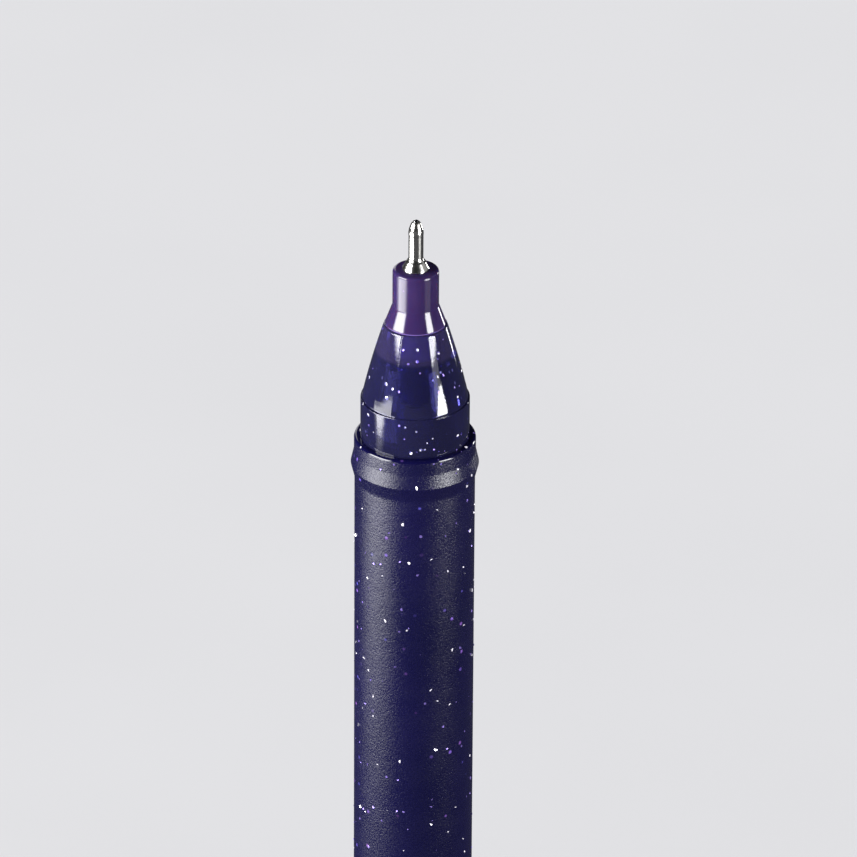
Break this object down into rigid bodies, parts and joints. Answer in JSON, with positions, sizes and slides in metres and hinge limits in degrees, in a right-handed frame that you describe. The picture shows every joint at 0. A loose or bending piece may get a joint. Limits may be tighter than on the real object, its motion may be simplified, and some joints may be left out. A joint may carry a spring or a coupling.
{
  "type": "gel pen",
  "caption": "Capped stick gel pen with a needle tip, translucent front cone and satin barrel, standing on its cap posted on the tail.",
  "frame": {"origin": "centre of the flat end face of the cap's crown, on the pen's axis", "axes": "+Z along the pen from the crown towards the writing ball; the clip is on the +X side"},
  "size_m": [0.0147, 0.0116, 0.162],
  "materials": {
    "satin_navy": "satin, spark-eroded texture, glitter in the resin",
    "clear_navy": "high gloss, tinted transparent, glitter in the resin",
    "clear_purple": "high gloss, tinted translucent",
    "tip_steel": "turned and polished",
    "spring_wire": "drawn wire",
    "carbide": "lapped",
    "tube_plastic": "translucent polypropylene",
    "gel": "wet gel",
    "grease": "clear yellowish grease",
    "liner_plastic": "soft polyethylene",
    "seal_rubber": "soft elastomer"
  },
  "bodies": {
    "barrel": {"barrel": "satin_navy", "front_section": "clear_navy", "tail_plug": "clear_navy"},
    "refill": {"tip_holder": "clear_purple", "tip_body": "tip_steel", "tip_spring": "spring_wire", "ink_tube": "tube_plastic", "gel_ink": "gel", "ink_follower": "grease", "follower_float": "liner_plastic"},
    "ball": {"ball": "carbide"},
    "cap": {"cap_shell": "clear_navy", "cap_crown": "clear_purple", "cap_liner": "liner_plastic", "tip_seal": "seal_rubber"},
    "clip": {"cap_clip": "clear_navy"}
  },
  "joints": [
    {"name": "refill_slide", "type": "slide", "parent": "barrel", "child": "refill", "axis": [0, 0, 1], "range_m": [0, 0.115]},
    {"name": "ball_spin", "type": "hinge", "parent": "refill", "child": "ball", "pos_m": [0, 0, 0.16175], "axis": [1, 0, 0], "continuous": true},
    {"name": "cap_slide", "type": "slide", "parent": "barrel", "child": "cap", "axis": [0, 0, -1], "range_m": [0, 0.03]},
    {"name": "clip_flex", "type": "hinge", "parent": "cap", "child": "clip", "pos_m": [0.008, 0, 0.0052], "axis": [0, 1, 0], "range_deg": [0, 6], "stiffness_Nm_per_rad": 0.6}
  ]
}
